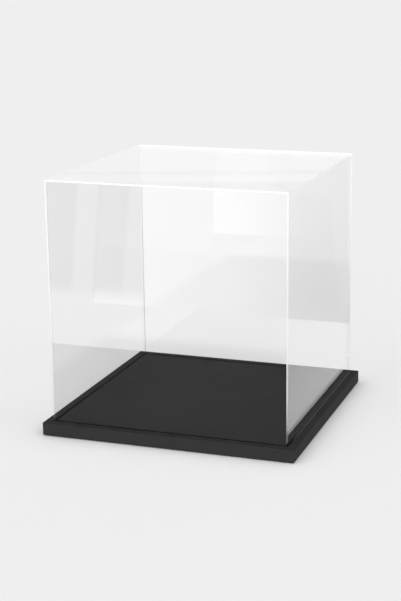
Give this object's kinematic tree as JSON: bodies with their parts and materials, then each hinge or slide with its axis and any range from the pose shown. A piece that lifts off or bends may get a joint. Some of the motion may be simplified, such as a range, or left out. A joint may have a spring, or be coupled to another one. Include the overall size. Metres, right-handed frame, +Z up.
{
  "type": "display case",
  "caption": "Clear acrylic cube cover that lifts off a thin black board with a routed groove.",
  "frame": {"origin": "centre of the footprint, on the surface that the pads stand on", "axes": "+X to the right along the front wall, +Y from the front wall to the back wall, +Z up, the way the cover lifts off"},
  "size_m": [0.321, 0.321, 0.317],
  "materials": {
    "clear_acrylic": "clear polished acrylic sheet with bright cut edges",
    "black_board": "satin black painted fibreboard",
    "black_pad": "matt black non-slip pad"
  },
  "bodies": {
    "base": {"base_board": "black_board", "foot_pad_front_left": "black_pad", "foot_pad_front_right": "black_pad", "foot_pad_back_left": "black_pad", "foot_pad_back_right": "black_pad"},
    "cover": {"cover_top_panel": "clear_acrylic", "cover_front_panel": "clear_acrylic", "cover_back_panel": "clear_acrylic", "cover_left_panel": "clear_acrylic", "cover_right_panel": "clear_acrylic"}
  },
  "joints": [
    {"name": "cover_lift", "type": "slide", "parent": "base", "child": "cover", "axis": [0, 0, 1], "range_m": [0, 0.33]}
  ]
}
